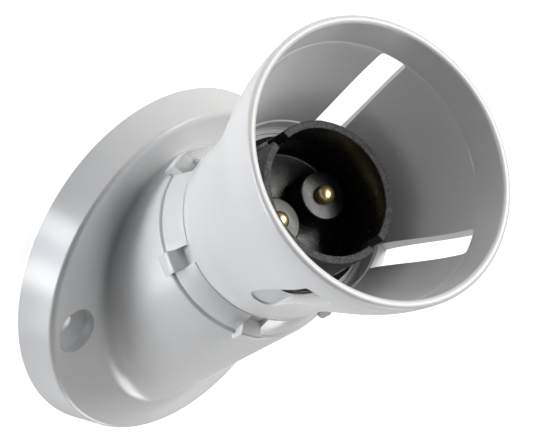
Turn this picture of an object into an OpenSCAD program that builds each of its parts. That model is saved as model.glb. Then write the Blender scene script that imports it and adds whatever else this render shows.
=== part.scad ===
// Angled batten lamp holder for a two-pin bayonet lamp.
// A round wall base carries a slanted hollow neck. A black lamp insert sits on the end of the neck,
// a grip ring screws down over its flange, and a flared skirt screws onto its barrel.
// The origin is the centre of the base's back face, +Z points away from the wall and the neck leans to +X.

/* [Base] */
// Diameter of the base at the wall
base_d = 66.6; // [64:0.2:80]
// Height of the base's front edge above the wall
base_h = 7.2; // [6.6:0.1:10]
// How much the radius shrinks from the wall to the front edge
base_draft = 1.5; // [0.5:0.1:2]
// Rounding of the front edge
base_edge = 0.9; // [0.4:0.1:1.2]
// Wall thickness of the base
base_wall = 2.2; // [1.8:0.1:2.6]
// Depth of the shallow dish in the front face
dish_depth = 0.5; // [0.2:0.1:0.8]
// Width of the flat rim around the dish
dish_rim = 0.5; // [0.3:0.1:1]

/* [Fixing holes] */
// Distance between the two wall screws
hole_spacing = 50.8; // [49:0.2:52]
// Diameter of the screw holes
hole_d = 4.3; // [3.6:0.1:5]
// Diameter of the wells for the screw heads
well_d = 8.4; // [7.6:0.1:9]
// Depth of the straight part of the wells
well_depth = 1.9; // [1.2:0.1:2.4]
// Wall of the bosses round the wells
boss_wall = 1.5; // [1.2:0.1:2]

/* [Neck] */
// Lean of the neck from the wall's normal
neck_angle = 45; // [38:1:47]
// Distance from the base's centre to where the neck's axis meets the wall
neck_offset = 8.6; // [7.6:0.1:9.4]
// How far the neck's surface stands out over the spigot
neck_step = 3.2; // [2.6:0.1:3.8]
// Length of the neck on its short side, from the base's face to the end
neck_stub = 7.825; // [6.8:0.025:14]
// Wall thickness of the neck
neck_wall = 2.2; // [1.8:0.1:2.5]
// Height of the fillet at the neck's root
root_h = 4.3; // [3:0.1:6]
// Width of the fillet at the neck's root
root_w = 3.2; // [2:0.1:3.6]
// Chamfer on the neck's end
neck_chamfer = 0.5; // [0.3:0.1:0.9]
// How far the spigot on the neck's end stands out over the barrel's thread
spigot_step = 1.1; // [0.9:0.05:1.4]
// Wall thickness of the spigot
spigot_wall = 1.7; // [1.4:0.1:1.8]
// Height of the spigot above the neck's end face
spigot_h = 3.2; // [2.8:0.1:3.4]

/* [Grip ring] */
// Thickness of the ring's lip over the barrel's flange
lip_h = 0.8; // [0.6:0.1:2]
// Width of the ring's lip
lip_w = 2.55; // [2.2:0.05:2.8]
// How far the ring's lower edge stands in from the neck's surface
ring_inset = 0.3; // [0.1:0.05:0.6]
// Number of grip lugs
lug_count = 6; // [4:1:8]
// Width of one grip lug as an angle
lug_angle = 17; // [12:1:22]
// Direction of the first grip lug
lug_first = 21; // [0:1:59]
// Height of the lugs' outer face over the neck's surface
lug_proud = 1.2; // [0.8:0.1:1.6]
// How far the lugs' noses reach down over the neck
lug_nose = 1.1; // [0.6:0.1:1.6]
// Height of a lug above the ring's lower edge
lug_h = 3.2; // [2.6:0.1:3.6]
// Depth of the pocket above each lug
pocket_depth = 1.1; // [0.6:0.1:1.2]

/* [Skirt] */
// Length of the skirt along the axis
skirt_len = 37.6; // [34:0.2:44]
// How far the skirt's lower edge stands out over the grip ring
skirt_step = 0.1; // [0:0.05:0.4]
// Diameter of the skirt's rim
rim_d = 50.1; // [47:0.1:56]
// Wall thickness at the rim
rim_wall = 1.5; // [1.2:0.1:1.8]
// Height of the plain stretch below the flare
collar_h = 3.7; // [2:0.1:5]
// Height of the threaded hub inside the skirt
hub_h = 7.4; // [6.6:0.1:7.6]
// Height of the ledge where the inside of the flare starts
ledge_h = 10.4; // [10:0.1:10.6]
// Room between the lamp barrel and the skirt's throat
throat_gap = 3.55; // [3.2:0.05:3.8]
// Direction of the release slot
slot_dir = 137; // [100:1:170]
// How far the slot's centre lies below the ledge
slot_drop = 0.1; // [0:0.05:0.4]
// Width of the slot's flat along the axis
slot_w = 6.4; // [6:0.1:6.6]
// Length of the slot's flat round the skirt
slot_len = 12.4; // [10:0.1:13]
// How far the slot's flat floor lies outside the throat
slot_step = 0.4; // [0.3:0.05:0.6]
// Direction midway between the two windows in the skirt
window_dir = -100; // [-110:1:-90]
// Angle between the two windows
window_spread = 94; // [80:1:110]
// Width of the windows
window_w = 5; // [4:0.1:6]
// Height of the windows' lower ends above the ledge
window_rise = 0.2; // [0.1:0.05:1]
// Distance of the windows' upper ends from the rim
window_top = 6.7; // [6:0.1:9]

/* [Lamp barrel] */
// Bore that takes the lamp cap
bore_d = 22.4; // [22.2:0.1:22.6]
// Wall of the barrel round the bore
barrel_wall = 1.4; // [1.2:0.1:1.5]
// Length of the barrel above its flange's lower face
barrel_len = 23.25; // [22.6:0.05:24]
// How far the skirt's thread stands out over the barrel
thread_rise = 1.2; // [1:0.1:1.4]
// Length of the plain barrel between the thread and the guiding bore's end
plain_len = 4.6; // [4:0.1:6]
// Pitch of the threads
thread_pitch = 1.6; // [1.4:0.1:2]
// Depth of the threads
thread_depth = 0.4; // [0.3:0.05:0.5]
// Thickness of the flange that the grip ring clamps
flange_h = 1.6; // [1.4:0.1:1.6]
// Height of the barrel's lower end above the neck's end face
barrel_rise = 1.1; // [0.8:0.1:1.4]
// Depth from the mouth to the end of the guiding bore
guide_len = 7.25; // [6.8:0.05:7.6]
// Depth from the mouth to the barrel's floor
floor_depth = 13.85; // [13.4:0.05:14.2]
// Thickness left between the joining screws' holes and the barrel's floor
pilot_floor = 2.5; // [2:0.1:3]
// Width of the bayonet slots
pin_slot_w = 2.8; // [2.4:0.1:3.2]
// Depth of the bayonet slots
pin_slot_depth = 8.4; // [7.6:0.1:8.8]
// Turn of the bayonet slots at their inner end
pin_slot_turn = 20; // [14:1:26]
// Height of the notch that holds the lamp's pin
pin_notch = 1.2; // [0.8:0.1:1.6]
// Direction of the first bayonet slot
pin_slot_dir = 15; // [0:1:40]

/* [Contacts] */
// Distance of each plunger from the axis
plunger_off = 5.5; // [5.3:0.1:5.7]
// Diameter of the plungers' heads
plunger_d = 3.3; // [3:0.1:3.4]
// Depth from the mouth to the plungers' tips
plunger_depth = 7.5; // [7.3:0.05:8]
// Travel of the plungers
plunger_travel = 4; // [3:0.1:4]
// Diameter of the round towers round the plungers
tower_d = 8.8; // [8:0.1:9]
// Height of the towers above the floor
tower_h = 4.5; // [4:0.1:4.8]
// Thickness of the towers' tops, which stop the plungers
tower_top = 1; // [0.8:0.1:1.2]
// Height of the plungers' collars
plunger_collar = 2; // [1.6:0.1:2.4]
// Height of the plungers' domes
dome_h = 1.1; // [0.8:0.1:1.2]
// Length of the tails that hold the springs straight
tail_len = 3.2; // [2.6:0.1:3.6]
// Diameter of those tails
tail_d = 2.2; // [2:0.1:2.4]
// Outside diameter of the contact tubes
tube_d = 6; // [5.8:0.1:6.2]
// Wall of the contact tubes
tube_wall = 0.55; // [0.5:0.05:0.6]
// Height of the contact tubes' floor over the terminals
tube_floor = 2.5; // [2:0.1:3]
// Diameter of the spring wire
spring_wire = 0.45; // [0.35:0.05:0.5]
// Turns in each spring
spring_turns = 8; // [6:1:10]

/* [Terminals] */
// Length of the terminal block below the barrel
block_len = 18.5; // [18:0.1:19]
// How far the block's body stands in from its flange
block_step = 0.6; // [0.3:0.1:1]
// Thickness of the terminal block's flange
block_flange_h = 3.2; // [2.6:0.1:3.6]
// Width of each brass terminal across the pocket
terminal_w = 6; // [5.6:0.1:6.2]
// Thickness of the terminals in the radial direction
terminal_t = 5.6; // [5.2:0.1:5.8]
// Height of each brass terminal
terminal_h = 9; // [8.4:0.1:9.4]
// Height of the terminals above the block's lower end
terminal_rise = 2; // [1.6:0.1:2.4]
// Distance of the loop and earth terminals from the axis
side_off = 7.8; // [7.6:0.1:7.9]
// Diameter of the wire holes in the terminals
wire_d = 3.4; // [2.8:0.1:3.6]
// Diameter of the terminal screws
clamp_d = 3.4; // [3:0.1:3.5]
// Diameter of the terminal screws' heads
clamp_head_d = 5; // [4.6:0.1:5.2]
// Height of those heads
clamp_head_h = 1.5; // [1.2:0.1:1.8]
// Travel of the terminal screws
clamp_travel = 1.6; // [1.2:0.1:1.8]
// Diameter of the screws that join the block to the barrel
joining_d = 2.9; // [2.6:0.1:3]
// Distance of those screws from the axis
joining_off = 9.1; // [8.9:0.1:9.2]
// Height of those screws' heads
joining_head_h = 1.6; // [1.2:0.1:1.8]

/* [Clearances] */
// Gap between faces that are pressed together by a thread
seat_gap = 0.2; // [0.1:0.05:0.3]
// Radial clearance of threads and sliding pieces
slide_gap = 0.05; // [0.03:0.01:0.08]
// Radial clearance of the grip ring and the skirt on their threads
ring_gap = 0.1; // [0.06:0.01:0.15]

/* [Hidden] */
$fn = 96;
eps = 0.01;

WHITE = [0.83, 0.84, 0.85];
BLACK = [0.11, 0.11, 0.11];
BRASS = [0.80, 0.62, 0.28];
STEEL = [0.70, 0.70, 0.72];

// Radii of the base and the neck
base_r = base_d / 2;
front_r = base_r - base_draft;
plate_top = base_h - dish_depth;
plate_under = plate_top - base_wall;

// Radii along the neck's axis, from the bore outwards
bore_r = bore_d / 2;
barrel_r = bore_r + barrel_wall;
relief_r = bore_r + 0.25;
thread_r = barrel_r + thread_rise;
spigot_r = thread_r + spigot_step;
spigot_bore_r = spigot_r - spigot_wall;
neck_r = spigot_r + neck_step;
flange_r = spigot_r - ring_gap;
barrel_spigot_r = spigot_bore_r - seat_gap;
lip_r = thread_r + ring_gap + slide_gap;
ring_top_r = lip_r + lip_w;
ring_bottom_r = neck_r - ring_inset;
skirt_low_r = ring_top_r + skirt_step;
throat_r = barrel_r + throat_gap;
block_r = barrel_spigot_r - block_step;
plunger_r = plunger_d / 2;
tube_r = tube_d / 2;
tube_bore_r = tube_r - tube_wall;

// Heights along the neck's axis, measured from the wall
neck_len = plate_top / cos(neck_angle) + neck_r * tan(neck_angle) + neck_stub;
root_rise = min(root_h, (neck_stub - lug_nose - 2 * seat_gap) * cos(neck_angle));
flange_t = neck_len + spigot_h;
flange_top_t = flange_t + flange_h;
ring_t = neck_len + seat_gap;
ring_top_t = flange_top_t + seat_gap / 2 + lip_h;
skirt_t = ring_top_t + seat_gap;
rim_t = skirt_t + skirt_len;
mouth_t = flange_t + barrel_len;
floor_t = mouth_t - floor_depth;
guide_t = mouth_t - guide_len;
thread_h = guide_t - plain_len - flange_top_t;
tower_t = floor_t + tower_h;
tip_t = mouth_t - plunger_depth;
barrel_bottom_t = neck_len + barrel_rise;
block_flange_t = barrel_bottom_t - block_flange_h;
block_bottom_t = barrel_bottom_t - block_len;
pilot_len = floor_t - barrel_bottom_t - pilot_floor;

// Plunger and spring
shoulder_t = tower_t - plunger_travel - tower_top;
collar_r = tube_bore_r - slide_gap;
collar_t = shoulder_t - slide_gap - plunger_collar;
tube_top_t = shoulder_t - 0.5;
tail_r = tail_d / 2;
spring_r = (tube_bore_r + tail_r) / 2;
spring_top_t = collar_t - spring_wire / 2 - eps;
terminal_t0 = block_bottom_t + terminal_rise;
terminal_top_t = terminal_t0 + terminal_h;
tube_floor_t = terminal_top_t + tube_floor;
clamp_t = terminal_t0 + terminal_h * 0.42;

// Turns something drawn along +Z so that it stands on the neck's axis
module on_neck() {
    translate([-neck_offset, 0, 0]) rotate([0, neck_angle, 0]) children();
}

// Everything above the height z
module above(z) {
    size = 4 * base_d;
    translate([-size / 2, -size / 2, z]) cube(size);
}

// Points of a cubic curve from p0 to p3
function curve(p0, p1, p2, p3, steps) =
    [for (i = [0 : steps]) let (s = i / steps, u = 1 - s)
        u * u * u * p0 + 3 * u * u * s * p1 + 3 * u * s * s * p2 + s * s * s * p3];

// Points of a quarter circle about c, from angle a0 to a1
function arc(c, r, a0, a1, steps) =
    [for (i = [0 : steps]) c + r * [cos(a0 + (a1 - a0) * i / steps), sin(a0 + (a1 - a0) * i / steps)]];

// Base: flange, slanted neck and spigot in one moulding

module flange_outside() {
    corner = [front_r - base_edge, base_h - base_edge];
    dish_edge = front_r - base_edge - dish_rim;
    rotate_extrude() polygon(concat(
        [[0, 0], [base_r, 0]],
        arc(corner, base_edge, 0, 90, 4),
        [[dish_edge, base_h], [dish_edge - 2 * dish_depth, plate_top], [0, plate_top]]));
}

module flange_hollow() {
    rotate_extrude() polygon([[0, -1], [base_r - base_wall, -1], [base_r - base_wall, 0],
        [front_r - base_wall, plate_under], [0, plate_under]]);
}

module neck_outside() {
    intersection() {
        on_neck() rotate_extrude() polygon([[0, 0], [neck_r, 0], [neck_r, neck_len - neck_chamfer],
            [neck_r - neck_chamfer, neck_len], [spigot_r, neck_len],
            [spigot_r, flange_t], [0, flange_t]]);
        above(plate_under);
    }
}

// One level of the fillet at the neck's root: the neck's slanted section, grown by grow
module root_level(z, grow) {
    shift = 0.35 * grow;
    translate([z * tan(neck_angle) - neck_offset + shift, 0, z])
        scale([neck_r / cos(neck_angle) + grow - shift, neck_r + grow, 1])
            cylinder(h = eps, r = 1, $fn = 48);
}

module neck_root() {
    levels = 5;
    sink = 0.3;
    z = [for (i = [0 : levels]) plate_top - eps + root_rise * (1 - cos(90 * i / levels))];
    grow = [for (i = [0 : levels]) root_w * (1 - sin(90 * i / levels)) - sink * i / levels];
    intersection() {
        union() {
            for (i = [0 : levels - 1]) hull() {
                root_level(z[i], grow[i]);
                root_level(z[i + 1], grow[i + 1]);
            }
            root_level(plate_top - dish_depth, root_w);
        }
        cylinder(h = base_h + root_rise + 1, r = front_r - base_edge - dish_rim);
    }
}

module neck_hollow() {
    inner_r = neck_r - neck_wall;
    step_t = neck_len - 2 * neck_wall;
    intersection() {
        on_neck() rotate_extrude() polygon([[0, -2 * neck_len], [inner_r, -2 * neck_len], [inner_r, step_t],
            [spigot_bore_r, step_t + neck_wall], [spigot_bore_r, flange_t + 1], [0, flange_t + 1]]);
        above(plate_under - 1);
    }
}

module at_fixing_holes() {
    for (side = [-1, 1]) translate([0, side * hole_spacing / 2, 0]) children();
}

module fixing_hole() {
    cone_h = (well_d - hole_d) / 2;
    well_floor = plate_top - well_depth;
    translate([0, 0, -1]) cylinder(h = base_h + 2, d = hole_d);
    translate([0, 0, well_floor]) cylinder(h = base_h, d = well_d);
    translate([0, 0, well_floor - cone_h]) cylinder(h = cone_h + eps, d1 = hole_d, d2 = well_d + 2 * eps);
}

module base() {
    color(WHITE) difference() {
        union() {
            difference() {
                union() {
                    flange_outside();
                    neck_outside();
                    neck_root();
                }
                flange_hollow();
                neck_hollow();
            }
            at_fixing_holes() cylinder(h = plate_under + 0.5, d = well_d + 2 * boss_wall);
        }
        at_fixing_holes() fixing_hole();
    }
}

// Grip ring that screws onto the spigot and holds the lamp barrel's flange

module lug_sector(points) {
    for (i = [0 : lug_count - 1])
        rotate([0, 0, lug_first + i * 360 / lug_count - lug_angle / 2])
            rotate_extrude(angle = lug_angle) polygon(points);
}

module lock_ring_solid() {
    inner_r = spigot_r + ring_gap;
    edge = 0.3;
    nose_t = ring_t - lug_nose;
    nose_r = neck_r + ring_gap;
    crown_r = neck_r + lug_proud;
    lug_top = ring_t + lug_h;
    pocket_r = ring_bottom_r - pocket_depth - 0.6;
    difference() {
        union() {
            rotate_extrude() polygon([[inner_r, ring_t],
                [ring_bottom_r - edge, ring_t], [ring_bottom_r, ring_t + edge],
                [ring_top_r + edge / 2, ring_top_t - edge], [ring_top_r - edge / 2, ring_top_t],
                [lip_r, ring_top_t], [lip_r, ring_top_t - lip_h], [inner_r, ring_top_t - lip_h]]);
            lug_sector(concat(
                [[inner_r + 0.5, ring_t + eps], [nose_r, ring_t + eps], [nose_r, nose_t + 0.3]],
                arc([nose_r + 0.35, nose_t + 0.35], 0.35, 200, 270, 3),
                arc([crown_r - 0.5, nose_t + 0.5], 0.5, -80, 0, 3),
                arc([crown_r - 0.5, lug_top - 0.5], 0.5, 0, 90, 3),
                [[inner_r + 0.5, lug_top]]));
        }
        lug_sector([[pocket_r, lug_top], [crown_r + 1, lug_top],
            [crown_r + 1, ring_top_t + 1], [pocket_r, ring_top_t + 1]]);
    }
}

module lock_ring() {
    color(WHITE) on_neck() lock_ring_solid();
}

// Flared skirt that screws onto the lamp barrel

module skirt_profile() {
    rim_r = rim_d / 2;
    rim_in_r = rim_r - rim_wall;
    hub_r = thread_r + ring_gap;
    edge = 0.35;
    hub_top = skirt_t + hub_h;
    ledge_t = skirt_t + ledge_h;
    flare_t = skirt_t + collar_h;
    flare_len = rim_t - flare_t;
    cone_len = rim_t - ledge_t;
    pull = 0.38;
    outside = curve([skirt_low_r + 0.4, flare_t], [skirt_low_r + 1.3, flare_t + pull * flare_len],
        [rim_r - 0.85, rim_t - pull * flare_len], [rim_r, rim_t - edge], 14);
    inside = curve([throat_r, ledge_t], [throat_r + 1.45, ledge_t + 0.25 * cone_len],
        [rim_in_r - 1.2, rim_t - 0.47 * cone_len], [rim_in_r, rim_t - edge], 12);
    polygon(concat(
        [[hub_r, skirt_t], [skirt_low_r - edge, skirt_t], [skirt_low_r, skirt_t + edge]],
        outside,
        [[rim_r - edge, rim_t], [rim_in_r + edge, rim_t]],
        [for (i = [len(inside) - 1 : -1 : 0]) inside[i]],
        [[throat_r - edge, ledge_t - edge], [throat_r - edge, hub_top + edge],
         [throat_r - 2 * edge, hub_top], [hub_r + 0.9, hub_top], [hub_r + 0.9, hub_top - 0.5],
         [hub_r + 0.6, hub_top - 0.5],
         [hub_r + 0.6, hub_top - 0.2], [hub_r, hub_top - 0.2]]));
}

// Rings of a thread cut into a wall of radius r: dir is 1 to cut outwards and -1 to cut inwards
module thread_rings(r, from_t, to_t, dir) {
    count = floor((to_t - from_t) / thread_pitch);
    for (i = [0 : count - 1])
        translate([0, 0, from_t + (i + 0.5) * thread_pitch])
            rotate_extrude() polygon([[r - dir * eps, -thread_pitch * 0.3], [r + dir * thread_depth, 0],
                [r - dir * eps, thread_pitch * 0.3]]);
}

// The flat pocket whose floor breaks through the wall above the ledge
module release_slot() {
    half = slot_w / 2;
    rotate([0, 0, slot_dir])
        translate([throat_r + slot_step, 0, skirt_t + ledge_h - slot_drop]) rotate([90, 0, 90])
        linear_extrude(height = rim_d) union() {
            translate([half - slot_len / 2, 0]) circle(r = half);
            translate([half - slot_len / 2, -half]) square([slot_len - half, slot_w]);
        }
}

// Two straight-sided windows through the flared wall, from the ledge nearly to the rim
module skirt_windows() {
    low_t = skirt_t + ledge_h + window_rise;
    for (side = [-1, 1]) rotate([0, 0, window_dir + side * window_spread / 2])
        translate([throat_r - 1, -window_w / 2, low_t])
            cube([rim_d / 2, window_w, rim_t - window_top - low_t]);
}

module skirt() {
    color(WHITE) on_neck() difference() {
        rotate_extrude() skirt_profile();
        thread_rings(thread_r + ring_gap, skirt_t, skirt_t + hub_h - 0.6, 1);
        release_slot();
        skirt_windows();
    }
}

// Black lamp barrel: bayonet bore, floor with two towers, thread and flange

module at_plungers() {
    for (side = [-1, 1]) translate([0, side * plunger_off, 0]) children();
}

module pin_slots() {
    near = bore_r - 2;
    reach = barrel_wall + 4;
    half = pin_slot_w / 2;
    bottom_t = mouth_t - pin_slot_depth;
    for (side = [0, 180]) rotate([0, 0, pin_slot_dir + side]) {
        translate([near, -half, bottom_t]) cube([reach, pin_slot_w, pin_slot_depth + 1]);
        rotate([0, 0, -pin_slot_turn / 2])
            translate([near, -1.3 * half, bottom_t + 2 * eps])
                cube([reach, 2.6 * half, pin_slot_w - 4 * eps]);
        rotate([0, 0, -pin_slot_turn])
            translate([near, -half, bottom_t + eps]) cube([reach, pin_slot_w, pin_slot_w + pin_notch]);
    }
}

module plunger_bore() {
    translate([0, 0, barrel_bottom_t - 1])
        cylinder(h = shoulder_t - barrel_bottom_t + 1, r = tube_r + slide_gap);
    translate([0, 0, shoulder_t - eps]) cylinder(h = tower_t - shoulder_t + 1, r = plunger_r + slide_gap);
}

module joining_screw_place(side) {
    rotate([0, 0, 45 + side * 180]) translate([joining_off, 0, 0]) children();
}

module lamp_barrel() {
    top_edge = 0.25;
    color(BLACK) on_neck() difference() {
        union() {
            difference() {
                rotate_extrude() polygon([[0, barrel_bottom_t], [barrel_spigot_r, barrel_bottom_t],
                    [barrel_spigot_r, flange_t], [flange_r, flange_t], [flange_r, flange_top_t],
                    [thread_r, flange_top_t], [thread_r, flange_top_t + thread_h],
                    [barrel_r + 0.3, flange_top_t + thread_h + 0.8], [barrel_r, guide_t],
                    [barrel_r, mouth_t - top_edge], [barrel_r - top_edge, mouth_t],
                    [bore_r + top_edge, mouth_t], [bore_r, mouth_t - top_edge], [bore_r, guide_t],
                    [relief_r, guide_t], [relief_r, floor_t], [0, floor_t]]);
                thread_rings(thread_r, flange_top_t + 0.4, flange_top_t + thread_h, -1);
                pin_slots();
            }
            at_plungers() translate([0, 0, floor_t - 1]) cylinder(h = tower_h + 1, d = tower_d);
        }
        at_plungers() plunger_bore();
        for (side = [0, 1]) joining_screw_place(side)
            translate([0, 0, barrel_bottom_t - 1]) cylinder(h = pilot_len + 1, d = joining_d);
    }
}

// Terminal block below the barrel, with a pocket for each brass terminal

// Directions of the terminals round the axis, and how far out each one stands
LINE = [90, plunger_off];
NEUTRAL = [270, plunger_off];
LOOP = [0, side_off];
EARTH = [180, side_off];
TERMINALS = [LINE, NEUTRAL, LOOP, EARTH];

module at_terminal(place) {
    rotate([0, 0, place[0]]) translate([place[1], 0, 0]) children();
}

// A terminal's outline grown by gap, as a block from height t0 up
module terminal_outline(gap, t0, height) {
    translate([-terminal_t / 2 - gap, -terminal_w / 2 - gap, t0])
        cube([terminal_t + 2 * gap, terminal_w + 2 * gap, height]);
}

// The clamp screws' heads stand clear of the terminals' outer faces
clamp_head_x = terminal_t / 2 + 0.3;

module terminal_block() {
    gap = 0.1;
    head_r = joining_d / 2 + 1;
    color(BLACK) on_neck() difference() {
        rotate_extrude() polygon([[0, block_bottom_t], [block_r, block_bottom_t],
            [block_r, block_flange_t], [barrel_spigot_r, block_flange_t],
            [barrel_spigot_r, barrel_bottom_t], [0, barrel_bottom_t]]);
        for (place = TERMINALS) at_terminal(place) {
            terminal_outline(gap, block_bottom_t - 1, terminal_top_t - block_bottom_t + 1);
            translate([0, 0, clamp_t]) rotate([0, 90, 0]) cylinder(h = 2 * block_r, d = clamp_head_d + 0.6);
        }
        at_plungers() translate([0, 0, block_bottom_t]) cylinder(h = block_len + 1, r = tube_r + slide_gap);
        for (side = [0, 1]) joining_screw_place(side) {
            translate([0, 0, block_bottom_t - 1]) cylinder(h = block_len + 2, d = joining_d + 2 * slide_gap);
            translate([0, 0, block_bottom_t - 1])
                cylinder(h = block_flange_t - block_bottom_t, r = head_r + 4 * slide_gap);
        }
    }
}

// Brass terminal: wire hole from below, clamp screw hole from the side
module terminal_body(place) {
    difference() {
        terminal_outline(0, terminal_t0, terminal_h);
        translate([0, 0, terminal_t0 - 1]) cylinder(h = terminal_h * 0.8 + 1, d = wire_d);
        translate([0, 0, clamp_t]) rotate([0, 90, 0]) cylinder(h = terminal_t, d = clamp_d + 2 * slide_gap);
    }
}

// Terminal with the tube that guides a plunger and its spring
module contact_terminal(place) {
    at_terminal(place) {
        terminal_body(place);
        difference() {
            translate([0, 0, terminal_top_t - eps])
                cylinder(h = tube_top_t - terminal_top_t + eps, r = tube_r);
            translate([0, 0, tube_floor_t]) cylinder(h = tube_top_t, r = tube_bore_r);
        }
    }
}

module terminal_line() {
    color(BRASS) on_neck() contact_terminal(LINE);
}

module terminal_neutral() {
    color(BRASS) on_neck() contact_terminal(NEUTRAL);
}

module terminal_loop() {
    color(BRASS) on_neck() at_terminal(LOOP) terminal_body(LOOP);
}

module terminal_earth() {
    color(BRASS) on_neck() at_terminal(EARTH) terminal_body(EARTH);
}

// Slotted screw along +X that clamps a wire in its terminal
module clamp_screw(place) {
    slot_w_screw = 0.9;
    tip_x = wire_d / 2 + 0.5 - clamp_travel;
    at_terminal(place) translate([0, 0, clamp_t]) rotate([0, 90, 0]) difference() {
        union() {
            translate([0, 0, tip_x]) cylinder(h = clamp_head_x - tip_x + eps, d = clamp_d);
            translate([0, 0, clamp_head_x]) cylinder(h = clamp_head_h, d = clamp_head_d);
        }
        translate([-clamp_head_d, -slot_w_screw / 2, clamp_head_x + clamp_head_h / 2])
            cube([2 * clamp_head_d, slot_w_screw, clamp_head_h]);
    }
}

module clamp_screw_line() {
    color(STEEL) on_neck() clamp_screw(LINE);
}

module clamp_screw_neutral() {
    color(STEEL) on_neck() clamp_screw(NEUTRAL);
}

module clamp_screw_loop() {
    color(STEEL) on_neck() clamp_screw(LOOP);
}

module clamp_screw_earth() {
    color(STEEL) on_neck() clamp_screw(EARTH);
}

// Long screw that joins the terminal block to the barrel from below
module block_screw(side) {
    slot_w_screw = 0.8;
    head_t = block_flange_t - 1 - joining_head_h;
    screw_len = barrel_bottom_t + pilot_len - 1 - head_t - joining_head_h;
    joining_screw_place(side) difference() {
        union() {
            translate([0, 0, head_t]) cylinder(h = joining_head_h, r = joining_d / 2 + 1);
            translate([0, 0, head_t + joining_head_h - eps])
                cylinder(h = screw_len, r = joining_d / 2 - slide_gap);
        }
        translate([-joining_d, -slot_w_screw / 2, head_t - 1])
            cube([2 * joining_d, slot_w_screw, 1 + joining_head_h / 2]);
    }
}

module block_screw_a() {
    color(STEEL) on_neck() block_screw(0);
}

module block_screw_b() {
    color(STEEL) on_neck() block_screw(1);
}

// Domed plunger with a collar under the tower and a tail inside the spring
module plunger(side) {
    dome_r = (plunger_r * plunger_r + dome_h * dome_h) / (2 * dome_h);
    dome_half = asin(plunger_r / dome_r);
    dome = arc([0, tip_t - dome_r], dome_r, 90 - dome_half, 90, 8);
    translate([0, side * plunger_off, 0]) rotate_extrude() polygon(concat(
        [[0, collar_t - tail_len], [tail_r, collar_t - tail_len], [tail_r, collar_t], [collar_r, collar_t],
         [collar_r, collar_t + plunger_collar], [plunger_r, collar_t + plunger_collar]],
        dome));
}

module plunger_line() {
    color(BRASS) on_neck() plunger(1);
}

module plunger_neutral() {
    color(BRASS) on_neck() plunger(-1);
}

// Coil spring under a plunger: a wire swept along a helix
module spring(side) {
    sides = 6;
    steps = 14;
    rings = spring_turns * steps;
    low = tube_floor_t + spring_wire / 2 + eps;
    rise = spring_top_t - low;
    points = [for (i = [0 : rings]) for (k = [0 : sides - 1])
        let (a = 360 * i / steps, b = 360 * k / sides, r = spring_r + spring_wire / 2 * cos(b))
        [r * cos(a), r * sin(a), low + rise * i / rings + spring_wire / 2 * sin(b)]];
    skin = [for (i = [0 : rings - 1]) for (k = [0 : sides - 1])
        let (n = (k + 1) % sides)
        [i * sides + k, (i + 1) * sides + k, (i + 1) * sides + n, i * sides + n]];
    ends = [[for (k = [0 : sides - 1]) k], [for (k = [sides - 1 : -1 : 0]) rings * sides + k]];
    translate([0, side * plunger_off, 0]) polyhedron(points, concat(skin, ends));
}

module spring_line() {
    color(STEEL) on_neck() spring(1);
}

module spring_neutral() {
    color(STEEL) on_neck() spring(-1);
}

base();
lock_ring();
skirt();
lamp_barrel();
terminal_block();
plunger_line();
plunger_neutral();
spring_line();
spring_neutral();
terminal_line();
terminal_neutral();
terminal_loop();
terminal_earth();
clamp_screw_line();
clamp_screw_neutral();
clamp_screw_loop();
clamp_screw_earth();
block_screw_a();
block_screw_b();
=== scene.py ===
import math

import bmesh
import bpy
from bpy.props import FloatProperty, FloatVectorProperty, IntProperty, PointerProperty
from mathutils import Matrix, Vector


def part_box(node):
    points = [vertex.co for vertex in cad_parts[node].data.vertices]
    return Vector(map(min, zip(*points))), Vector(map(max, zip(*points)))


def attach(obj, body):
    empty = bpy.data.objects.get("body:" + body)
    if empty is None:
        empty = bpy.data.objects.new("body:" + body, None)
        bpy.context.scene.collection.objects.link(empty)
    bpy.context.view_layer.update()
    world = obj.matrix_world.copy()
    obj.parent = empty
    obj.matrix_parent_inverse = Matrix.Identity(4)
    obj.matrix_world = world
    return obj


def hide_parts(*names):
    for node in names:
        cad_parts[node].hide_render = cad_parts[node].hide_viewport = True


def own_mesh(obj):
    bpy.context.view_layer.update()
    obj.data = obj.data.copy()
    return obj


bl_info = {
    "name": "Angled lamp holder",
    "version": (1, 0, 0),
    "blender": (4, 5, 0),
    "location": "View3D > Sidebar > Lamp holder",
    "description": "Builds the finished pieces of a slanted lamp holder round its packed solids",
    "category": "Object",
}

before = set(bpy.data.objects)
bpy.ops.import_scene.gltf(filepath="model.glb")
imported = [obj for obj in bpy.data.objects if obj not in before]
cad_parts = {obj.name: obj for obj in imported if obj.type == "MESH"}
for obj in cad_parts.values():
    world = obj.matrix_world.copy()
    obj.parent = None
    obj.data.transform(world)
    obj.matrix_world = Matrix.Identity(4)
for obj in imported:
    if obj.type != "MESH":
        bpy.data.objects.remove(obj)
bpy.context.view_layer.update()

MM = 0.001

# How far a cutting tool reaches past the faces that it opens
PAST = 1 * MM

# The thread between the barrel and the skirt
THREAD_PITCH = 1.6 * MM
THREAD_DEPTH = 0.4 * MM

# The neck's axis: where it meets the wall, and its lean from the wall's normal
NECK_FOOT = -8.6 * MM
NECK_LEAN = math.radians(45)
NECK = Matrix.Translation((NECK_FOOT, 0, 0)) @ Matrix.Rotation(NECK_LEAN, 4, "Y")
ALONG_NECK = NECK.to_3x3() @ Vector((0, 0, 1))


def reach(node):
    """Lowest and highest place of a CAD node along the neck's axis, and its largest distance from it."""
    back = NECK.inverted()
    points = [back @ v.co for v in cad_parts[node].data.vertices]
    heights = [p.z for p in points]
    return min(heights), max(heights), max(math.hypot(p.x, p.y) for p in points)


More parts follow.
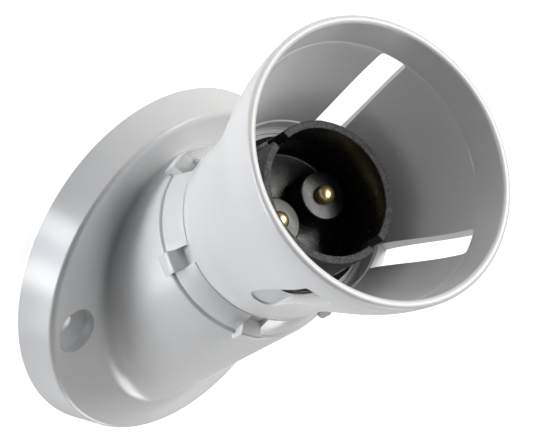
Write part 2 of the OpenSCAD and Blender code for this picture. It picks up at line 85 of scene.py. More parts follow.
RING_LOW, RING_HIGH, RING_REACH = reach("lock_ring")
SKIRT_LOW, SKIRT_HIGH, SKIRT_REACH = reach("skirt")
BARREL_LOW, BARREL_HIGH, FLANGE_REACH = reach("lamp_barrel")
BASE_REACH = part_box("base")[1].y
NOSE_DROP = 1.1 * MM
NECK_END = RING_LOW + NOSE_DROP - 0.2 * MM

# The grip ring's lugs: how many, the first one's place and their width as angles round the neck's axis
LUG_COUNT = 6
LUG_FIRST = 20
LUG_ANGLE = 11.5

# The step inside the skirt, and the radius of its wall above that
SKIRT_LEDGE = SKIRT_LOW + 10.4 * MM
SKIRT_THROAT = 16.15 * MM

# The skirt's windows and its release slot, as angles round the neck's axis. The slot reaches further
# down than the windows, and has a flat floor there.
WINDOW_TURNS = (-147, -53)
SLOT_TURN = 124.5
SLOT_FLOOR = 17.1 * MM
SLOT_REACH_DOWN = 3.3 * MM


def length(name, description, value):
    return FloatProperty(name=name, description=description, default=value, unit="LENGTH")


def colour(name, description, value):
    return FloatVectorProperty(name=name, description=description, default=value,
                               size=3, subtype="COLOR", min=0, max=1)


class HolderSizes(bpy.types.PropertyGroup):
    """Sizes of the finished pieces."""
    base_height: length("Base height", "Height of the base's front edge", 7.2 * MM)
    base_edge: length("Base edge", "Rounding of the base's front edge", 0.9 * MM)
    base_draft: length("Base draft", "How much the base shrinks to the front", 1.5 * MM)
    dish_depth: length("Dish depth", "Depth of the shallow dish in the base's face", 0.5 * MM)
    wall: length("Wall", "Wall of the base and the neck", 2.2 * MM)
    neck_radius: length("Neck radius", "Outside radius of the neck", 18.1 * MM)
    root_height: length("Root height", "Height of the fillet at the neck's root", 4.3 * MM)
    root_width: length("Root width", "Width of the fillet at the neck's root", 3.2 * MM)
    well_radius: length("Well radius", "Radius of the wells for the wall screws", 4.2 * MM)
    hole_radius: length("Hole radius", "Radius of the wall screws' holes", 2.15 * MM)
    hole_reach: length("Hole reach", "Distance of the screw holes from the centre", 25.4 * MM)
    rim_wall: length("Rim wall", "Thickness of the skirt's rim", 1.5 * MM)
    window_width: length("Window width", "Width of the windows in the skirt", 5 * MM)
    window_top: length("Window top", "Distance of the windows' ends and the inner crease from the rim",
                       6.7 * MM)
    bore_radius: length("Bore radius", "Radius of the lamp barrel's bore", 11.2 * MM)
    barrel_wall: length("Barrel wall", "Wall of the lamp barrel", 1.4 * MM)
    plunger_place: length("Plunger place", "Distance of the plungers from the axis", 5.5 * MM)
    segments: IntProperty(name="Segments", description="Steps round a turned piece",
                          default=192, min=24, max=256)


class HolderColours(bpy.types.PropertyGroup):
    """Colours of the materials."""
    moulding: colour("Moulding", "Pale grey of the base and the grip ring", (0.68, 0.68, 0.69))
    skirt: colour("Skirt", "Pale grey of the skirt", (0.68, 0.68, 0.69))
    black: colour("Black", "Black of the lamp barrel and the terminal block", (0.007, 0.007, 0.0065))
    brass: colour("Brass", "Brass of the plungers and the terminals", (0.80, 0.57, 0.25))
    steel: colour("Steel", "Plated steel of the screws and springs", (0.56, 0.56, 0.57))
    floor: colour("Floor", "Colour of the floor", (0.86, 0.86, 0.86))


def put(tree, kind, **values):
    """A new shader node with the given properties."""
    node = tree.nodes.new(kind)
    for key, value in values.items():
        setattr(node, key, value)
    return node


def new_material(name):
    material = bpy.data.materials.new(name)
    material.use_nodes = True
    tree = material.node_tree
    return material, tree, tree.nodes["Principled BSDF"]


def noise(tree, place, scale, detail=3, roughness=0.5):
    node = put(tree, "ShaderNodeTexNoise")
    node.inputs["Scale"].default_value = scale
    node.inputs["Detail"].default_value = detail
    node.inputs["Roughness"].default_value = roughness
    tree.links.new(place, node.inputs["Vector"])
    return node.outputs["Fac"]


def spread(tree, value, low, high, to_low, to_high):
    """Maps a value's range from low to high onto another range."""
    node = put(tree, "ShaderNodeMapRange")
    for key, number in (("From Min", low), ("From Max", high), ("To Min", to_low), ("To Max", to_high)):
        node.inputs[key].default_value = number
    tree.links.new(value, node.inputs["Value"])
    return node.outputs["Result"]


def blend_colours(tree, factor, first, second):
    node = put(tree, "ShaderNodeMix", data_type="RGBA")
    for key, value in (("A", first), ("B", second)):
        socket = [s for s in node.inputs if s.name == key and s.type == "RGBA"][0]
        if hasattr(value, "links"):
            tree.links.new(value, socket)
        else:
            socket.default_value = (*value, 1)
    tree.links.new(factor, node.inputs["Factor"])
    return [s for s in node.outputs if s.type == "RGBA"][0]


def bumps(tree, shader, height, strength, distance):
    node = put(tree, "ShaderNodeBump")
    node.inputs["Strength"].default_value = strength
    node.inputs["Distance"].default_value = distance
    tree.links.new(height, node.inputs["Height"])
    tree.links.new(node.outputs["Normal"], shader.inputs["Normal"])


def shades(colour_value, factor):
    return tuple(min(1.0, c * factor) for c in colour_value)


def pale_moulding(name, tone):
    """Glossy pale plastic with faint flow marks and dust."""
    material, tree, shader = new_material(name)
    place = put(tree, "ShaderNodeTexCoord").outputs["Object"]
    clouds = spread(tree, noise(tree, place, 120, 4), 0.35, 0.65, 0, 1)
    dust = spread(tree, noise(tree, place, 2600, 2), 0.68, 0.74, 0, 1)
    body = blend_colours(tree, clouds, shades(tone, 0.97), shades(tone, 1.03))
    tree.links.new(blend_colours(tree, dust, body, shades(tone, 1.12)), shader.inputs["Base Color"])
    tree.links.new(spread(tree, noise(tree, place, 300, 3), 0.3, 0.7, 0.11, 0.18),
                   shader.inputs["Roughness"])
    shader.inputs["IOR"].default_value = 1.5
    bumps(tree, shader, noise(tree, place, 420, 3), 0.12, 0.02 * MM)
    return material


def black_moulding(name, tone, mouth=None):
    """Black plastic: smooth, but rougher and grained on the end face above the height mouth, where a painted
    sheen makes it greyer.
    """
    material, tree, shader = new_material(name)
    place = put(tree, "ShaderNodeTexCoord").outputs["Object"]
    specks = spread(tree, noise(tree, place, 1900, 3, 0.7), 0.45, 0.62, 0, 1)
    body = blend_colours(tree, specks, shades(tone, 0.8), shades(tone, 1.5))
    rough = spread(tree, noise(tree, place, 500, 3), 0.3, 0.7, 0.24, 0.36)
    if mouth is not None:
        height = put(tree, "ShaderNodeVectorMath", operation="DOT_PRODUCT")
        tree.links.new(place, height.inputs[0])
        height.inputs[1].default_value = ALONG_NECK
        face = mouth + NECK_FOOT * ALONG_NECK.x
        on_face = spread(tree, height.outputs["Value"], face - 0.3 * MM, face - 0.05 * MM, 0, 1)
        # Painted sheen: the end face's colour is lifted from black to speckled greys, standing in for light
        # reflected off it.
        grain = blend_colours(tree, specks, (0.028, 0.029, 0.029), (0.085, 0.087, 0.088))
        body = blend_colours(tree, on_face, body, grain)
        add = put(tree, "ShaderNodeMath", operation="MULTIPLY_ADD")
        tree.links.new(on_face, add.inputs[0])
        add.inputs[1].default_value = 0.35
        tree.links.new(rough, add.inputs[2])
        rough = add.outputs[0]
    tree.links.new(body, shader.inputs["Base Color"])
    tree.links.new(rough, shader.inputs["Roughness"])
    bumps(tree, shader, noise(tree, place, 2200, 3, 0.6), 0.25, 0.05 * MM)
    return material


def metal(name, tone, low, high, grain):
    """Turned or plated metal with fine marks."""
    material, tree, shader = new_material(name)
    place = put(tree, "ShaderNodeTexCoord").outputs["Object"]
    shader.inputs["Metallic"].default_value = 1
    marks = spread(tree, noise(tree, place, grain, 4, 0.6), 0.3, 0.7, 0, 1)
    tree.links.new(blend_colours(tree, marks, shades(tone, 0.86), shades(tone, 1.08)),
                   shader.inputs["Base Color"])
    tree.links.new(spread(tree, noise(tree, place, grain * 2, 3), 0.3, 0.7, low, high),
                   shader.inputs["Roughness"])
    bumps(tree, shader, noise(tree, place, grain * 3, 2), 0.15, 0.02 * MM)
    return material


def finish_of(key):
    """The material of that key, made the first time it is asked for."""
    tones = bpy.context.scene.holder_colours
    makers = {
        "white_moulding": lambda: pale_moulding("pale_moulding", tuple(tones.moulding)),
        "skirt_moulding": lambda: pale_moulding("skirt_moulding", tuple(tones.skirt)),
        "black_moulding": lambda: black_moulding("black_moulding", tuple(tones.black)),
        "barrel_moulding": lambda: black_moulding("barrel_moulding", tuple(tones.black), BARREL_HIGH),
        "brass": lambda: metal("brass", tuple(tones.brass), 0.22, 0.36, 700),
        "plated_steel": lambda: metal("plated_steel", tuple(tones.steel), 0.28, 0.42, 900),
        "spring_steel": lambda: metal("spring_steel", tuple(tones.steel), 0.2, 0.34, 900),
    }
    if key not in bpy.data.materials:
        made = makers[key]()
        made.name = key
    return bpy.data.materials[key]


def rounded(corners, steps=4):
    """The points of an outline whose corners (radius, height, rounding) are rounded by arcs."""
    points = []
    count = len(corners)
    for i, (r, t, fillet) in enumerate(corners):
        here = Vector((r, t))
        if not fillet:
            points.append(here)
            continue
        before = (Vector(corners[i - 1][:2]) - here).normalized()
        after = (Vector(corners[(i + 1) % count][:2]) - here).normalized()
        half = before.angle(after) / 2
        centre = here + (before + after).normalized() * fillet / math.sin(half)
        start = here + before * fillet / math.tan(half) - centre
        end = here + after * fillet / math.tan(half) - centre
        turn = start.angle_signed(end)
        for k in range(steps + 1):
            a = -turn * k / steps
            points.append(centre + Vector((start.x * math.cos(a) - start.y * math.sin(a),
                                           start.x * math.sin(a) + start.y * math.cos(a))))
    return points


def curve(p0, p1, p2, p3, steps):
    """Points of a cubic curve from p0 to p3."""
    points = []
    for i in range(steps + 1):
        s = i / steps
        u = 1 - s
        points.append(u ** 3 * Vector(p0) + 3 * u * u * s * Vector(p1)
                      + 3 * u * s * s * Vector(p2) + s ** 3 * Vector(p3))
    return points


def outline_edges(bm, points, closed):
    verts = [bm.verts.new((p[0], 0, p[1])) for p in points]
    edges = [bm.edges.new((a, b)) for a, b in zip(verts, verts[1:])]
    if closed:
        edges.append(bm.edges.new((verts[-1], verts[0])))
    return verts, edges


def turned(points, segments, closed=True):
    """A bmesh of an outline (distance from the axis, height) turned once round the Z axis."""
    bm = bmesh.new()
    verts, edges = outline_edges(bm, points, closed)
    bmesh.ops.spin(bm, geom=verts + edges, cent=(0, 0, 0), axis=(0, 0, 1), angle=2 * math.pi,
                   steps=segments, use_merge=True)
    bmesh.ops.remove_doubles(bm, verts=bm.verts, dist=1e-7)
    bmesh.ops.recalc_face_normals(bm, faces=bm.faces)
    return bm


def sector(points, start, angle, steps, bevel=0.0):
    """A solid made by turning a closed outline through part of a turn, with bevelled ends."""
    bm = bmesh.new()
    verts, edges = outline_edges(bm, points, True)
    face = bm.faces.new(verts)
    bmesh.ops.rotate(bm, verts=bm.verts, cent=(0, 0, 0), matrix=Matrix.Rotation(start, 3, "Z"))
    made = bmesh.ops.spin(bm, geom=verts + edges + [face], cent=(0, 0, 0), axis=(0, 0, 1),
                          angle=angle, steps=steps)
    bmesh.ops.recalc_face_normals(bm, faces=bm.faces)
    if bevel:
        caps = [face] + [g for g in made["geom_last"] if isinstance(g, bmesh.types.BMFace)]
        ends = list({e for cap in caps for e in cap.edges})
        bmesh.ops.bevel(bm, geom=ends, offset=bevel, segments=3, profile=0.5,
                        affect="EDGES", clamp_overlap=True, material=-1)
    return bm


def joined(*parts):
    """One bmesh out of several."""
    whole = bmesh.new()
    for bm in parts:
        mesh = bpy.data.meshes.new("part")
        bm.to_mesh(mesh)
        bm.free()
        whole.from_mesh(mesh)
        bpy.data.meshes.remove(mesh)
    return whole


def block(size, place, turn=0.0):
    """A box with its centre at place, turned round the Z axis afterwards."""
    bm = bmesh.new()
    bmesh.ops.create_cube(bm, size=1)
    bmesh.ops.scale(bm, verts=bm.verts, vec=size)
    bmesh.ops.translate(bm, verts=bm.verts, vec=place)
    bmesh.ops.rotate(bm, verts=bm.verts, cent=(0, 0, 0), matrix=Matrix.Rotation(turn, 3, "Z"))
    return bm


def rod(points, place, segments=64):
    """A turned solid whose outline starts and ends on its own axis, stood at place."""
    bm = turned(points, segments, closed=False)
    bmesh.ops.translate(bm, verts=bm.verts, vec=place)
    return bm


def drill(radius, low, high, place, segments=64):
    return rod([(0, low), (radius, low), (radius, high), (0, high)], place, segments)


def carved(bm, tool, operation):
    """The bmesh with another one added to it or taken from it."""
    objects = []
    for source in (bm, tool):
        mesh = bpy.data.meshes.new("work")
        source.to_mesh(mesh)
        source.free()
        objects.append(bpy.data.objects.new("work", mesh))
        bpy.context.scene.collection.objects.link(objects[-1])
    modifier = objects[0].modifiers.new("cut", "BOOLEAN")
    modifier.operation = operation
    modifier.solver = "EXACT"
    modifier.object = objects[1]
    bpy.context.view_layer.update()
    seen = objects[0].evaluated_get(bpy.context.evaluated_depsgraph_get())
    result = bmesh.new()
    result.from_mesh(seen.to_mesh())
    seen.to_mesh_clear()
    for o in objects:
        mesh = o.data
        bpy.data.objects.remove(o)
        bpy.data.meshes.remove(mesh)
    bmesh.ops.remove_doubles(result, verts=result.verts, dist=1e-7)
    bmesh.ops.dissolve_degenerate(result, edges=result.edges, dist=1e-7)
    return result


def soften_edges(bm, chosen, width, segments=3):
    """Bevels the edges for which chosen(edge) is true."""
    edges = [e for e in bm.edges if len(e.link_faces) == 2 and chosen(e)]
    bmesh.ops.bevel(bm, geom=edges, offset=width, segments=segments, profile=0.5,
                    affect="EDGES", clamp_overlap=True, material=-1)


def settle(bm, name, body, nodes, finish, slot=None, sharp=32):
    """Makes a finished piece of the bmesh: smooth, in place, on its body, standing for its nodes."""
    mesh = bpy.data.meshes.new(name)
    for face in bm.faces:
        face.smooth = True
    bm.to_mesh(mesh)
    bm.free()
    mesh.set_sharp_from_angle(angle=math.radians(sharp))
    piece = bpy.data.objects.new(name, mesh)
    bpy.context.scene.collection.objects.link(piece)
    mesh.materials.append(finish_of(finish))
    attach(piece, body)
    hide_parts(*nodes)
    slot or finish
    return piece


def on_neck(bm):
    bmesh.ops.transform(bm, matrix=NECK, verts=bm.verts)
    return bm


def loft(rings, segments):
    """A closed tube of rings: ring(angle) gives a point, and each ring is extruded from the last."""
    bm = bmesh.new()
    layer = bm.verts.layers.float.new("angle")
    made = bmesh.ops.create_circle(bm, segments=segments, radius=1)
    for v in made["verts"]:
        v[layer] = math.atan2(v.co.y, v.co.x)
        v.co = rings[0](v[layer])
    edges = list(bm.edges)
    for ring in rings[1:] + rings[:1]:
        grown = bmesh.ops.extrude_edge_only(bm, edges=edges)["geom"]
        edges = [g for g in grown if isinstance(g, bmesh.types.BMEdge) and g.is_boundary]
        for v in [g for g in grown if isinstance(g, bmesh.types.BMVert)]:
            v.co = ring(v[layer])
    bmesh.ops.remove_doubles(bm, verts=bm.verts, dist=1e-7)
    bmesh.ops.recalc_face_normals(bm, faces=bm.faces)
    return bm


def base_rings(sizes):
    """The base's rings: down the neck, over the fillet and the face, round the edge, back inside."""
    plate = sizes.base_height - sizes.dish_depth
    front = BASE_REACH - sizes.base_draft
    lean_x = 1 / math.cos(NECK_LEAN)
    shift = math.tan(NECK_LEAN)
    spigot = 14.9 * MM
    spigot_bore = 13.2 * MM
    spigot_top = NECK_END + 3.2 * MM
    chamfer = 0.5 * MM

    def on_axis(radius, height):
        return lambda a: NECK @ Vector((radius * math.cos(a), radius * math.sin(a), height))

    def slanted(radius, z):
        """Where the neck's wall of that radius passes the height z."""
        return lambda a: Vector((NECK_FOOT + z * shift + radius * lean_x * math.cos(a),
                                 radius * math.sin(a), z))

    def round_base(radius, z):
        def ring(a):
            foot = slanted(sizes.neck_radius, plate)(a)
            turn = math.atan2(foot.y, foot.x)
            return Vector((radius * math.cos(turn), radius * math.sin(turn), z))
        return ring

    def fillet(share):
        def ring(a):
            start = slanted(sizes.neck_radius, plate + sizes.root_height)(a)
            corner = slanted(sizes.neck_radius, plate)(a)
            outward = Vector((math.cos(a) / lean_x, math.sin(a), 0)).normalized()
            narrow = 1 - 0.75 * min(0.0, math.cos(a)) ** 2
            end = corner + outward * sizes.root_width * narrow
            u = 1 - share
            return u * u * start + 2 * u * share * corner + share * share * end
        return ring

    edge = sizes.base_edge
    dish_outer = front - edge - 0.5 * MM
    dish_inner = dish_outer - 2 * sizes.dish_depth
    inner = sizes.neck_radius - sizes.wall
    under = plate - sizes.wall
    rings = [on_axis(spigot_bore, spigot_top), on_axis(spigot, spigot_top), on_axis(spigot, NECK_END),
             on_axis(sizes.neck_radius - chamfer, NECK_END)]
    for k in (1, 2, 3):
        a = k * math.pi / 6
        rings.append(on_axis(sizes.neck_radius - chamfer + chamfer * math.sin(a),
                             NECK_END - chamfer + chamfer * math.cos(a)))
    rings += [fillet(k / 12) for k in range(13)]
    rings += [round_base(dish_inner, plate), round_base(dish_outer, sizes.base_height)]
    for k in range(7):
        a = k * math.pi / 12
        rings.append(round_base(front - edge + edge * math.sin(a),
                                sizes.base_height - edge + edge * math.cos(a)))
    foot_edge = 0.25 * MM
    rings += [round_base(BASE_REACH, foot_edge), round_base(BASE_REACH - foot_edge / 3, foot_edge / 3),
              round_base(BASE_REACH - foot_edge, 0), round_base(BASE_REACH - sizes.wall, 0),
              round_base(front - sizes.wall, under), slanted(inner, under),
              on_axis(inner, NECK_END - 2 * sizes.wall), on_axis(spigot_bore, NECK_END - sizes.wall)]
    return rings


def ridges(radius, depth, start, count):
    """Outline points of a thread's turns, from the height start upwards."""
    points = []
    for k in range(count):
        middle = start + (k + 0.5) * THREAD_PITCH
        points += [(radius, middle - 0.3 * THREAD_PITCH), (radius + depth, middle),
                   (radius, middle + 0.3 * THREAD_PITCH)]
    return points


def skirt_outline(sizes):
    """The skirt's outline: up the flared outside, round the rim, down the inside and the threaded hub."""
    low, high = SKIRT_LOW, SKIRT_HIGH
    ledge, throat = SKIRT_LEDGE, SKIRT_THROAT
    hub = 13.9 * MM
    foot = 16.6 * MM
    hub_top = low + 7.4 * MM
    rim_in = SKIRT_REACH - sizes.rim_wall
    edge = 0.6 * MM
    crease = high - sizes.window_top
    crease_step = 0.12 * MM
    outside = curve((foot + 0.4 * MM, low + 3.7 * MM), (foot + 1.3 * MM, low + 16.6 * MM),
                    (SKIRT_REACH - 0.85 * MM, high - 12.9 * MM), (SKIRT_REACH, high - edge), 28)
    wall_curve = curve((throat, ledge), (throat + 1.45 * MM, ledge + 6.8 * MM),
                       (rim_in - 1.2 * MM, high - 12.8 * MM), (rim_in, high - edge), 32)
    below = [p for p in wall_curve if p.y < crease - 0.3 * MM]
    crease_r = below[-1].x + (crease - below[-1].y) * 0.3
    inside = below + [Vector((crease_r, crease)), Vector((crease_r + crease_step, crease + crease_step)),
                      Vector((rim_in, high - edge))]
    rim_arc = rounded([(rim_in, high - edge, 0), (rim_in, high, edge), (SKIRT_REACH, high, edge),
                       (SKIRT_REACH, high - edge, 0)], 6)[1:-1]
    corner = 0.35 * MM
    bottom = [(hub, low), (foot - corner, low), (foot - corner * 0.3, low + corner * 0.3),
              (foot, low + corner)]
    step = [(throat - corner * 0.7, ledge - corner * 0.3), (throat - corner, ledge - corner),
            (throat - corner, hub_top + corner), (throat - 2 * corner, hub_top)]
    groove = [(hub + 0.9 * MM, hub_top), (hub + 0.9 * MM, hub_top - 0.5 * MM),
              (hub + 0.6 * MM, hub_top - 0.5 * MM), (hub + 0.6 * MM, hub_top - 0.2 * MM),
              (hub, hub_top - 0.2 * MM)]
    return (bottom + outside + rim_arc[::-1] + inside[::-1] + step + groove
            + ridges(hub, THREAD_DEPTH, low, 4)[::-1])


def opening(width, low_end, high_end, start, turn, low_rounding=0.0):
    """A tool for an opening in the skirt, which reaches out from the distance start in the direction turn."""
    tool = block((SKIRT_REACH, width, high_end - low_end), (0, 0, 0))

    def at_top(e):
        return abs(e.verts[0].co.x - e.verts[1].co.x) > width and e.verts[0].co.z > 0

    def at_bottom(e):
        return (abs(e.verts[0].co.x - e.verts[1].co.x) > width
                and max(v.co.z for v in e.verts) < -3 * MM)

    soften_edges(tool, at_top, 0.6 * MM, 4)
    if low_rounding:
        soften_edges(tool, at_bottom, low_rounding, 12)
    bmesh.ops.translate(tool, verts=tool.verts, vec=(start + SKIRT_REACH / 2, 0, (low_end + high_end) / 2))
    bmesh.ops.rotate(tool, verts=tool.verts, cent=(0, 0, 0),
                     matrix=Matrix.Rotation(math.radians(turn), 3, "Z"))
    return tool


class HOLDER_OT_base(bpy.types.Operator):
    """Makes the round base with its slanted neck, spigot and screw wells in one moulding"""
    bl_idname = "holder.base"
    bl_label = "Base and neck"

    def execute(self, context):
        sizes = context.scene.holder_sizes
        bm = loft(base_rings(sizes), sizes.segments)
        plate = sizes.base_height - sizes.dish_depth
        well_depth = 1.9 * MM
        well_floor = plate - well_depth
        cone = sizes.well_radius - sizes.hole_radius
        boss_wall = 1.5 * MM
        boss = sizes.well_radius + boss_wall
        bosses, wells = [], []
        for side in (-1, 1):
            place = (0, side * sizes.hole_reach, 0)
            bosses.append(drill(boss, 0, plate - 0.9 * sizes.wall, place, 96))
            wells.append(rod([(0, -PAST), (sizes.hole_radius, -PAST),
                              (sizes.hole_radius, well_floor - cone), (sizes.well_radius, well_floor),
                              (sizes.well_radius, plate + 3 * PAST), (0, plate + 3 * PAST)], place, 96))
        bm = carved(bm, joined(*bosses), "UNION")
        bm = carved(bm, joined(*wells), "DIFFERENCE")

        def at_well_mouth(e):
            close = 0.02 * MM
            for v in e.verts:
                from_hole = math.hypot(v.co.x, abs(v.co.y) - sizes.hole_reach)
                if abs(from_hole - sizes.well_radius) >= close or abs(v.co.z - plate) >= close:
                    return False
            return True

        mouth_edge = 0.35 * MM
        soften_edges(bm, at_well_mouth, mouth_edge)
        settle(bm, "base_moulding", "root", ["base"], "white_moulding")
        return {"FINISHED"}


class HOLDER_OT_grip_ring(bpy.types.Operator):
    """Makes the grip ring with its rounded lugs and the pockets above them"""
    bl_idname = "holder.grip_ring"
    bl_label = "Grip ring"

    def execute(self, context):
        sizes = context.scene.holder_sizes
        low = RING_LOW + NOSE_DROP
        high = RING_HIGH
        inside = 15.0 * MM
        lip = 13.95 * MM
        bottom = sizes.neck_radius - 0.3 * MM
        top = 16.5 * MM
        lip_low = high - 0.8 * MM
        lug_low = low + 0.01 * MM
        lug_high = low + 2.7 * MM
        lug_root = inside + 0.5 * MM
        nose = sizes.neck_radius + 0.1 * MM
        lug_edge = 0.6 * MM
        pocket = bottom - 1.7 * MM
        pocket_low = lug_high - 0.02 * MM
        bm = turned(rounded([(inside, low, 0), (bottom, low, 0.35 * MM), (top, high, 0.3 * MM),
                             (lip, high, 0), (lip, lip_low, 0), (inside, lip_low, 0)]), sizes.segments)
        lug_outline = rounded([(lug_root, lug_low, 0), (nose, lug_low, 0), (nose, RING_LOW, 0),
                               (RING_REACH, RING_LOW, 1 * MM), (RING_REACH - 0.1 * MM, lug_high, lug_edge),
                               (lug_root, lug_high, 0)])
        pocket_outline = [(pocket, pocket_low), (pocket, high + PAST),
                          (RING_REACH + PAST, high + PAST), (RING_REACH + PAST, pocket_low)]
        lug_angle = math.radians(LUG_ANGLE)
        lugs, pockets = [], []
        for k in range(LUG_COUNT):
            start = math.radians(LUG_FIRST + 360 * k / LUG_COUNT) - lug_angle / 2
            lugs.append(sector(lug_outline, start, lug_angle, 8, bevel=lug_edge))
            pockets.append(sector(pocket_outline, start, lug_angle, 8))
        bm = carved(bm, joined(*lugs), "UNION")
        bm = carved(bm, joined(*pockets), "DIFFERENCE")
        settle(on_neck(bm), "grip_ring", "lock_ring", ["lock_ring"], "white_moulding")
        return {"FINISHED"}


class HOLDER_OT_skirt(bpy.types.Operator):
    """Makes the flared skirt with its rounded rim, threaded hub, two windows and release slot"""
    bl_idname = "holder.skirt"
    bl_label = "Skirt"

    def execute(self, context):
        sizes = context.scene.holder_sizes
        bm = turned(skirt_outline(sizes), sizes.segments)
        crease = SKIRT_HIGH - sizes.window_top
        width = sizes.window_width
        tools = [opening(width, SKIRT_LEDGE + 0.2 * MM, crease, SKIRT_THROAT - PAST, turn)
                 for turn in WINDOW_TURNS]
        tools.append(opening(width, SKIRT_LEDGE - SLOT_REACH_DOWN, crease, SLOT_FLOOR, SLOT_TURN,
                             low_rounding=2.4 * MM))
        bm = carved(bm, joined(*tools), "DIFFERENCE")
        settle(on_neck(bm), "skirt_moulding", "skirt", ["skirt"], "skirt_moulding")
        return {"FINISHED"}


class HOLDER_OT_barrel(bpy.types.Operator):
    """Makes the black lamp barrel with its bayonet slots, towers and thread"""
    bl_idname = "holder.barrel"
    bl_label = "Lamp barrel"

    def execute(self, context):
        sizes = context.scene.holder_sizes
        mouth = BARREL_HIGH
        bore, outer = sizes.bore_radius, sizes.bore_radius + sizes.barrel_wall
        flange_low = BARREL_LOW + 2.1 * MM
        flange_high = flange_low + 1.6 * MM
        guide = mouth - 7.25 * MM
        floor = mouth - 13.85 * MM
        tower = floor + 4.5 * MM
        thread = 13.8 * MM
        thread_high = guide - 4.6 * MM
        spigot = 13.0 * MM
        relief = bore + 0.25 * MM
        mouth_edge = 0.22 * MM
        points = rounded([(0, BARREL_LOW, 0), (spigot, BARREL_LOW, 0.2 * MM), (spigot, flange_low, 0),
                          (FLANGE_REACH, flange_low, 0.15 * MM), (FLANGE_REACH, flange_high, 0.2 * MM),
                          (thread, flange_high, 0)])[:-1]
        points.append((thread, flange_high))
        points += ridges(thread, -THREAD_DEPTH, flange_high + 0.4 * MM, 5)
        points += rounded([(thread, thread_high, 0), (outer + 0.3 * MM, thread_high + 0.8 * MM, 0),
                           (outer, guide, 0), (outer, mouth, mouth_edge), (bore, mouth, mouth_edge),
                           (bore, guide, 0), (relief, guide - 0.1 * MM, 0), (relief, floor, 0.6 * MM),
                           (0, floor, 0)])
        bm = turned(points, sizes.segments, closed=False)
        bottom = mouth - 8.4 * MM
        width = 2.8 * MM
        middle_r = bore + 0.7 * MM
        cuts = []
        rise = 9.4 * MM
        hook = 1.2 * MM
        turn = math.radians(20)
        for side in (0, math.pi):
            start = math.radians(15) + side
            cuts.append(block((6 * MM, width, rise), (middle_r, 0, bottom + rise / 2), start))
            cuts.append(block((6.2 * MM, 1.3 * width, width),
                              (middle_r, 0, bottom + width / 2 + 0.005 * MM), start - turn / 2))
            cuts.append(block((6.4 * MM, width, width + hook),
                              (middle_r, 0, bottom + (width + hook) / 2), start - turn))
        for cut in cuts:
            bm = carved(bm, cut, "DIFFERENCE")
        tower_radius = 4.4 * MM
        collar = tower - 5 * MM
        spring_bore = 3.05 * MM
        pin_hole = 1.7 * MM
        towers, bores = [], []
        for side in (-1, 1):
            place = (0, side * sizes.plunger_place, 0)
            towers.append(rod(rounded([(0, floor - PAST, 0), (tower_radius, floor - PAST, 0),
                                       (tower_radius, tower, 0.3 * MM), (0, tower, 0)]), place, 96))
            bores.append(rod([(0, BARREL_LOW - PAST), (spring_bore, BARREL_LOW - PAST),
                              (spring_bore, collar), (pin_hole, collar), (pin_hole, tower + PAST),
                              (0, tower + PAST)], place))
        bm = carved(bm, towers[0], "UNION")
        bm = carved(bm, towers[1], "UNION")
        bm = carved(bm, joined(*bores), "DIFFERENCE")
        settle(on_neck(bm), "barrel_moulding", "root", ["lamp_barrel"], "barrel_moulding",
               slot="black_moulding")
        return {"FINISHED"}


